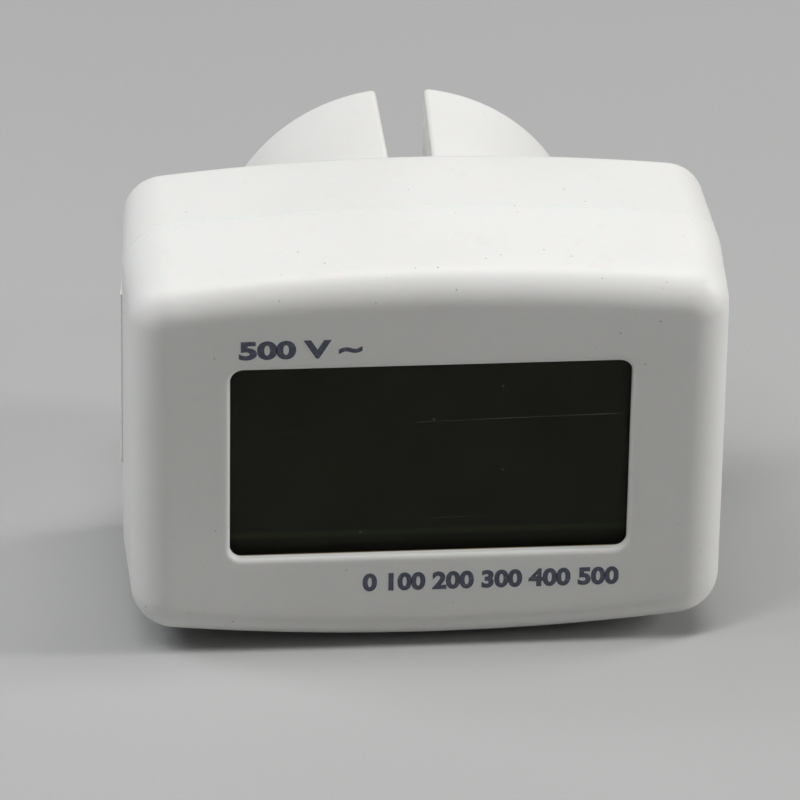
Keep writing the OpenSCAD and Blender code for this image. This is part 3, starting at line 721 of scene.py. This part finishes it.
def rear_shell():
    """The rear cover in one with the plug body, with its tongue, columns, wells and pin holes."""
    tongue = LIP_T + LIP_GAP
    tongue_y = Y_SEAM - LIP_H + LIP_GAP
    outside = [(tongue, tongue_y), (tongue, Y_SEAM)]
    outside += rounding(SEAM_R, 3, Y_SEAM, 0)
    side_to = Y_BACK - REAR_EDGE_R
    outside += [(0, Y_SEAM + SEAM_R + (side_to - Y_SEAM - SEAM_R) * i / 5) for i in range(1, 5)]
    outside += [(REAR_EDGE_R * (1 - sin(q)), Y_BACK - REAR_EDGE_R * (1 - cos(q)))
                for q in reversed(quarter_turns(6))]
    shell = skin("rear_shell_moulding",
                 [at_depth(case_outline(inset + max(rear_draft(y), 0)), y) for inset, y in outside])
    combine(shell, "UNION", [plug_body()])
    floor = Y_BACK - WALL
    round_to = floor - INNER_R / 2
    hollow = [(WALL, tongue_y - 1), (WALL, Y_SEAM), (WALL + rear_draft(round_to), round_to)]
    hollow += [(WALL + rear_draft(floor) + INNER_R / 2 * (1 - cos(q)), round_to + INNER_R / 2 * sin(q))
               for q in quarter_turns(4)[1:]]
    cavity = skin("case_hollow", [at_depth(case_outline(inset), y) for inset, y in hollow])
    depths = (floor - 1, Y_BACK / 2, -END_WALL)
    boss_cavity = skin("plug_hollow", [at_depth(plug_outline(y, 0, BOSS_WALL), y) for y in depths])
    combine(shell, "DIFFERENCE", [cavity, boss_cavity])
    posts = []
    holes = []
    flange_y = -END_WALL - FLANGE_T
    for x in (-1, 1):
        for z in (-1, 1):
            at = (x * COLUMN_X, z * COLUMN_Z)
            column = [(COLUMN_R, POST_TOP), (COLUMN_R + 0.1, Y_BACK - OVERLAP)]
            posts.append(turned("column", column, at))
            well = [(WELL_R, HEAD_SEAT), (WELL_R, Y_BACK - 0.3)]
            well += [(WELL_MOUTH_R, Y_BACK), (WELL_MOUTH_R, Y_BACK + OVERLAP)]
            holes.append(turned("well", well, at))
            shank_hole = [(SHANK_HOLE_R, POST_TOP - OVERLAP), (SHANK_HOLE_R, Y_BACK - 1)]
            holes.append(turned("shank_hole", shank_hole, at, HOLE_STEPS))
        at = (0, x * RETAINER_SCREW_Z)
        post = [(RETAINER_POST_R, flange_y), (RETAINER_POST_R + 0.1, -END_WALL + 0.3)]
        posts.append(turned("retainer_post", post, at, HOLE_STEPS))
        pilot = [(PILOT_R + 0.05, flange_y - OVERLAP), (PILOT_R + 0.05, -1)]
        holes.append(turned("pilot", pilot, at, HOLE_STEPS))
        bore_r = NECK_R + 0.02
        pin_hole = [(bore_r, -END_WALL - OVERLAP), (bore_r, -0.12)]
        pin_hole += [(bore_r + 0.12, 0), (bore_r + 0.12, OVERLAP)]
        holes.append(turned("pin_hole", pin_hole, (x * PIN_X, 0)))
    combine(shell, "UNION", posts)
    combine(shell, "DIFFERENCE", holes)
    return shell


def contact_pin(name, side):
    """A turned pin: hollow tail for the wire, flange, neck, and a smoothly rounded tip."""
    tail_end = PIN_LOW.y
    flange_y = -END_WALL - FLANGE_T
    bevel = 0.1
    profile = [(CUP_R, tail_end + CUP_DEPTH), (CUP_R, tail_end)]
    profile += [(TAIL_R - bevel, tail_end), (TAIL_R, tail_end + bevel), (TAIL_R, flange_y)]
    profile += [(FLANGE_R - bevel, flange_y), (FLANGE_R, flange_y + bevel), (FLANGE_R, -END_WALL)]
    profile += [(NECK_R, -END_WALL), (NECK_R, -bevel), (NECK_R - bevel, 0), (PIN_R, 0)]
    profile += [(PIN_R - TIP_R * (1 - cos(q)), PIN_HIGH.y - TIP_R * (1 - sin(q)))
                for q in quarter_turns(10)]
    return turned(name, profile, (side * PIN_X, 0))


def screw(at, seat, shank, length, head_r, head_h, facing=1):
    """One thread-forming screw with a domed cross-recess head; facing is its head's way along Y."""
    pitch, crest, tip = 0.8, 0.22, 1.2
    per_pitch = 8                   # rings to each turn of the thread
    steps = 32                      # points round each ring
    rings = []

    def ring(y, radii):
        rings.append([(at[0] + r * cos(2 * pi * i / steps), seat + facing * y,
                       at[1] + r * sin(2 * pi * i / steps)) for i, r in enumerate(radii)])

    for i in range(int((length - 0.6) / pitch * per_pitch) + 1):
        y = -length + i * pitch / per_pitch
        taper = min(1, 0.25 + 0.75 * (y + length) / tip)
        runs = [(y / pitch - k / steps) % 1 for k in range(steps)]
        ring(y, [taper * (shank + crest * max(0, 1 - abs(run - 0.5) * 3.2)) for run in runs])
    outline = [(-0.4, shank), (0, shank), (0, head_r), (head_h * 0.45, head_r)]
    outline += [(head_h * (0.45 + 0.5 * sin(q)), head_r * (1 - 0.42 * (1 - cos(q))))
                for q in quarter_turns(5)[1:]]
    for y, radius in outline + [(head_h, head_r * 0.2)]:
        ring(y, [radius] * steps)
    body = skin("screw", rings)
    top = (seat + facing * (head_h + 0.3), head_r * 0.62, head_r * 0.15)
    bottom = (seat + facing * head_h * 0.3, head_r * 0.38, head_r * 0.10)
    blades = []
    for angle in (20, 110):
        turn = Matrix.Rotation(radians(angle), 2)
        sides = []
        for y, reach, half in (top, bottom):
            corners = ((reach, half), (-reach, half), (-reach, -half), (reach, -half))
            turned_corners = [turn @ Vector(c) for c in corners]
            sides.append([(at[0] + c.x, y, at[1] + c.y) for c in turned_corners])
        blades.append(skin("driver_slot", sides))
    combine(body, "DIFFERENCE", blades)
    return body


def screws(name, node, places, *size):
    """All the screws of one kind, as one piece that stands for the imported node."""
    piece = join(name, [screw(at, *size) for at in places])
    finish_piece(piece, zinc, stands_for=[node])


def window_lens():
    """The clear window plate behind the front wall, its edges lightly broken."""
    half_w = (LENS_HIGH.x - LENS_LOW.x) / 2
    half_h = (LENS_HIGH.z - LENS_LOW.z) / 2
    corner, edge = 0.4, 0.08

    def ring(inset, y):
        w, h, r = half_w - inset, half_h - inset, corner - inset
        quarter = [(w, 0)] + arc((w - r, h - r), r, 0, 90, 4) + [(0, h)]
        return [(x, y, z + WINDOW_MIDDLE) for x, z in four_ways(quarter)]

    turns = quarter_turns(4)
    rings = [ring(edge * (1 - sin(q)), LENS_LOW.y + edge * (1 - cos(q))) for q in turns]
    rings += [ring(edge * (1 - cos(q)), LENS_HIGH.y - edge * (1 - sin(q))) for q in turns]
    return skin("window_plate", rings)


def side_label():
    """The label on the rear shell's side: thin, with a thicker rolled front edge and lower corner."""
    across, up = 40, 72
    sheet, clear = 0.08, 0.005      # its thickness, and how far it stands off the shell
    rings = []
    for i in range(up + 1):
        z = LABEL_LOW.z + (LABEL_HIGH.z - LABEL_LOW.z) * i / up
        corner = 0.13 * max(0, 1 - (z - LABEL_LOW.z) / 0.9) ** 1.5
        outer, inner = [], []
        for j in range(across + 1):
            y = LABEL_LOW.y + (LABEL_HIGH.y - LABEL_LOW.y) * (j / across) ** 2
            run = y - LABEL_LOW.y
            roll = (0.17 + corner) * min(1, 0.2 + run / 0.3) * max(0, 1 - run / 2.4) ** 1.5
            x = rear_draft(y) - HALF_W - clear
            outer.append((x - sheet - roll, y, z))
            inner.append((x, y, z))
        rings.append(outer + inner[::-1])
    return skin("label_sheet", rings)


def print_line(name, words, height, left, base, width):
    """A line of printing on the front face, scaled to fit its height and width in millimetres."""
    proud, sunk = 0.012, 0.02
    curve = bpy.data.curves.new(name, "FONT")
    curve.body = words
    curve.size = 1
    curve.offset = 0.046            # thickens the strokes
    curve.extrude = 0.001
    curve.resolution_u = 6
    text = add_object(name, curve)
    depsgraph = bpy.context.evaluated_depsgraph_get()
    mesh = bpy.data.meshes.new_from_object(text.evaluated_get(depsgraph))
    bpy.data.objects.remove(text)
    low = [min(v.co[k] for v in mesh.vertices) for k in range(3)]
    high = [max(v.co[k] for v in mesh.vertices) for k in range(3)]
    for v in mesh.vertices:
        x = left + (v.co.x - low[0]) / (high[0] - low[0]) * width
        z = base + (v.co.y - low[1]) / (high[1] - low[1]) * height
        y = Y_FRONT - proud if v.co.z > 0 else Y_FRONT + sunk
        v.co = Vector((x, y, z)) * MM
    mesh.flip_normals()
    return add_object(name, mesh)


white = moulded_abs()
finish_piece(front_shell(), white, stands_for=["front_shell"])
finish_piece(rear_shell(), white, stands_for=["rear_shell"])
finish_piece(window_lens(), window_acrylic(), stands_for=["window_lens"])
finish_piece(side_label(), label_stock(), stands_for=["side_label"])

nickel = nickel_pin()
finish_piece(contact_pin("live_pin", 1), nickel, stands_for=["contact_pin_live"])
finish_piece(contact_pin("neutral_pin", -1), nickel, stands_for=["contact_pin_neutral"])

zinc = bright_metal("zinc_plate", (0.60, 0.60, 0.58), 0.3, (1, 0.2, 1), 0.4)
case_places = [(x * COLUMN_X, z * COLUMN_Z) for x in (-1, 1) for z in (-1, 1)]
board_places = [(x * BOARD_SCREW_X, 0) for x in (-1, 1)]
retainer_places = [(0, z * RETAINER_SCREW_Z) for z in (-1, 1)]
# Each set: the head's seat, shank radius, length, head radius and height, and the head's way
screws("case_screw_set", "case_screws", case_places, HEAD_SEAT, 0.85, 12, 2.3, 1.8)
screws("board_screw_set", "board_screws", board_places, BOARD_HIGH.y, 0.85, 6, 1.8, 1.3)
screws("retainer_screw_set", "retainer_screws", retainer_places, RETAINER_LOW.y, 0.9, 4.6, 1.9, 1.3, -1)

# Plain printed marks: a range with its unit, and a row of numbers
ink = printing_ink()
range_mark = print_line("range_mark", "500 V ~", 2.1, -18.8, 12.25, 12)
finish_piece(range_mark, ink)
scale_numbers = print_line("scale_numbers", "0 100 200 300 400 500", 2.1, -6.5, -14.7, 25.4)
finish_piece(scale_numbers, ink)


# ---------------------------------------------------------------- the parts that stay as packed

def centres(node):
    """The middles along X of a node's separate bodies, in millimetres, left to right."""
    gap = 1.2
    marks = sorted(v.co.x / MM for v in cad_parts[node].data.vertices)
    groups = [[marks[0]]]
    for x in marks[1:]:
        if x - groups[-1][-1] > gap:
            groups.append([])
        groups[-1].append(x)
    return [(group[0] + group[-1]) / 2 for group in groups]


def dress(node, material):
    """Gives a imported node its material."""
    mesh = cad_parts[node].data
    mesh.materials.clear()
    mesh.materials.append(material)


film = polarizing_film()
glass = cell_glass()
tinned = bright_metal("tinned_copper", (0.72, 0.72, 0.70), 0.3)
black, silver, grey = (0.02, 0.02, 0.02), (0.55, 0.55, 0.54), (0.45, 0.47, 0.50)
gold, brown, red = (0.55, 0.38, 0.10), (0.16, 0.05, 0.02), (0.50, 0.04, 0.03)
resistor_bands = []
for x in centres("resistors"):
    resistor_bands += [(x - 2.2, 0.25, brown), (x - 1.1, 0.2, black)]
    resistor_bands += [(x - 0.3, 0.2, red), (x + 2.1, 0.25, gold)]
diode_bands = [(x + 1.6, 0.35, silver) for x in centres("rectifier_diodes")]
zener_bands = [(x + 1.2, 0.25, black) for x in centres("zener_diode")]
can_stripe = [(centres("bulk_capacitor")[0] - 3.9, 1.3, grey)]

looks = {
    "lens_tape": plastic("foam_tape", (0.20, 0.14, 0.065), 0.85, 0.15, 0.03),
    "front_polarizer": film,
    "rear_polarizer": film,
    "lcd_front_glass": glass,
    "lcd_rear_glass": glass,
    "diffuser_film": plastic("diffuser_film", (0.84, 0.84, 0.84), 0.6, 0.1, 0.004, 0.02),
    "light_guide": guide_acrylic(),
    "reflector_film": bright_metal("reflector_foil", (0.86, 0.87, 0.88), 0.15, tarnish=0.05),
    "lcd_frame": plastic("tray_white", (0.82, 0.82, 0.80), 0.5, 0.2, 0.008, 0.03),
    "zebra_strip": elastomer(),
    "backlight_leds": plastic("lamp_body", (0.80, 0.76, 0.52), 0.4, 0.25),
    "backlight_led_leads": tinned,
    "circuit_board": board_laminate(),
    "controller_chip": plastic("potting_resin", (0.012, 0.012, 0.013), 0.28, 0.8, 0.03),
    "film_capacitor": plastic("capacitor_box", (0.66, 0.44, 0.05), 0.38, 0.2, 0.01),
    "bulk_capacitor": banded("capacitor_sleeve", (0.02, 0.03, 0.10), can_stripe, 0.3),
    "filter_capacitor": banded("small_capacitor_sleeve", (0.02, 0.03, 0.10), can_stripe, 0.3),
    "varistor": plastic("blue_dip", (0.04, 0.13, 0.42), 0.4, 0.6, 0.03),
    "ceramic_capacitors": plastic("tan_dip", (0.50, 0.22, 0.06), 0.45, 0.5, 0.03),
    "radial_leads": tinned,
    "fuse_resistor": plastic("cement_coat", (0.33, 0.42, 0.50), 0.7, 0.25, 0.04),
    "rectifier_diodes": banded("diode_epoxy", black, diode_bands, 0.4),
    "zener_diode": banded("zener_glass", (0.50, 0.13, 0.03), zener_bands, 0.1, Coat_Weight=0.5),
    "resistors": banded("resistor_lacquer", (0.62, 0.46, 0.28), resistor_bands, 0.35),
    "axial_leads": tinned,
    "trimmer_base": plastic("trimmer_blue", (0.04, 0.16, 0.45), 0.45, 0.2),
    "trimmer_rotor": plastic("rotor_white", (0.78, 0.75, 0.66), 0.45, 0.2),
    "trimmer_leads": tinned,
    "pin_retainer": plastic("retainer_grey", (0.20, 0.205, 0.21), 0.5, 0.18, 0.01),
    "lead_live": plastic("brown_insulation", (0.17, 0.065, 0.025), 0.4, 0.4),
    "lead_neutral": plastic("blue_insulation", (0.03, 0.12, 0.42), 0.4, 0.4),
    "lead_ends": tinned,
}
for node, material in looks.items():
    dress(node, material)


# ---------------------------------------------------------------- floor, lights and camera

FLOOR_Z = cad_box[0].z
FLOOR_HALF = 4                  # metres from its middle to its edges
floor_corners = [(x * FLOOR_HALF, y * FLOOR_HALF, FLOOR_Z)
                 for x, y in ((-1, -1), (1, -1), (1, 1), (-1, 1))]
floor_mesh = bpy.data.meshes.new("table_top")
floor_mesh.from_pydata(floor_corners, [], [(0, 1, 2, 3)])
floor_mesh.materials.append(studio_floor())
add_object("table_top", floor_mesh)

world = bpy.data.worlds.new("studio")
world.use_nodes = True
world.node_tree.nodes["Background"].inputs["Color"].default_value = (0.93, 0.95, 1.0, 1)
world.node_tree.nodes["Background"].inputs["Strength"].default_value = 0.05
bpy.context.scene.world = world
bpy.context.scene.view_settings.view_transform = "Standard"


def soft_light(name, place, width, depth, watts, colour=(1, 1, 1)):
    """A soft box at a place in metres, width by depth, facing the front of the case."""
    lamp = bpy.data.lights.new(name, "AREA")
    lamp.shape = "RECTANGLE"
    lamp.size = width
    lamp.size_y = depth
    lamp.energy = watts
    lamp.color = colour
    light = add_object(name, lamp)
    light.location = place
    aim = Vector((0, Y_FRONT * MM, 0)) - light.location
    light.rotation_mode = "QUATERNION"
    light.rotation_quaternion = aim.to_track_quat("-Z", "Y")


soft_light("overhead_strip", (0.02, -0.092, 0.8), 0.9, 0.10, 4.85, (1, 0.995, 0.98))
soft_light("left_box", (-0.56, 0.05, 0.58), 0.4, 0.4, 2.6, (0.93, 0.96, 1))
soft_light("right_strip", (0.75, -0.09, 0.27), 0.08, 0.4, 2.9)

# The camera looks down on the meter from the front, a little from its left
AIM = Vector((-1.99, Y_SEAM, -0.49)) * MM
DISTANCE = 0.7516
ELEVATION = radians(31.22)
SWING = radians(-4.90)
ROLL = radians(0.93)

back = Vector((sin(SWING) * cos(ELEVATION), -cos(SWING) * cos(ELEVATION), sin(ELEVATION)))
level = Vector((cos(SWING), sin(SWING), 0))
upright = back.cross(level)
right = cos(ROLL) * level + sin(ROLL) * upright
above = cos(ROLL) * upright - sin(ROLL) * level
lens = bpy.data.cameras.new("camera")
lens.sensor_width = 36
lens.lens = 341
lens.clip_start = 0.05
camera = add_object("camera", lens)
camera.matrix_world = Matrix((right, above, back)).transposed().to_4x4()
camera.location = AIM + back * DISTANCE
bpy.context.scene.camera = camera
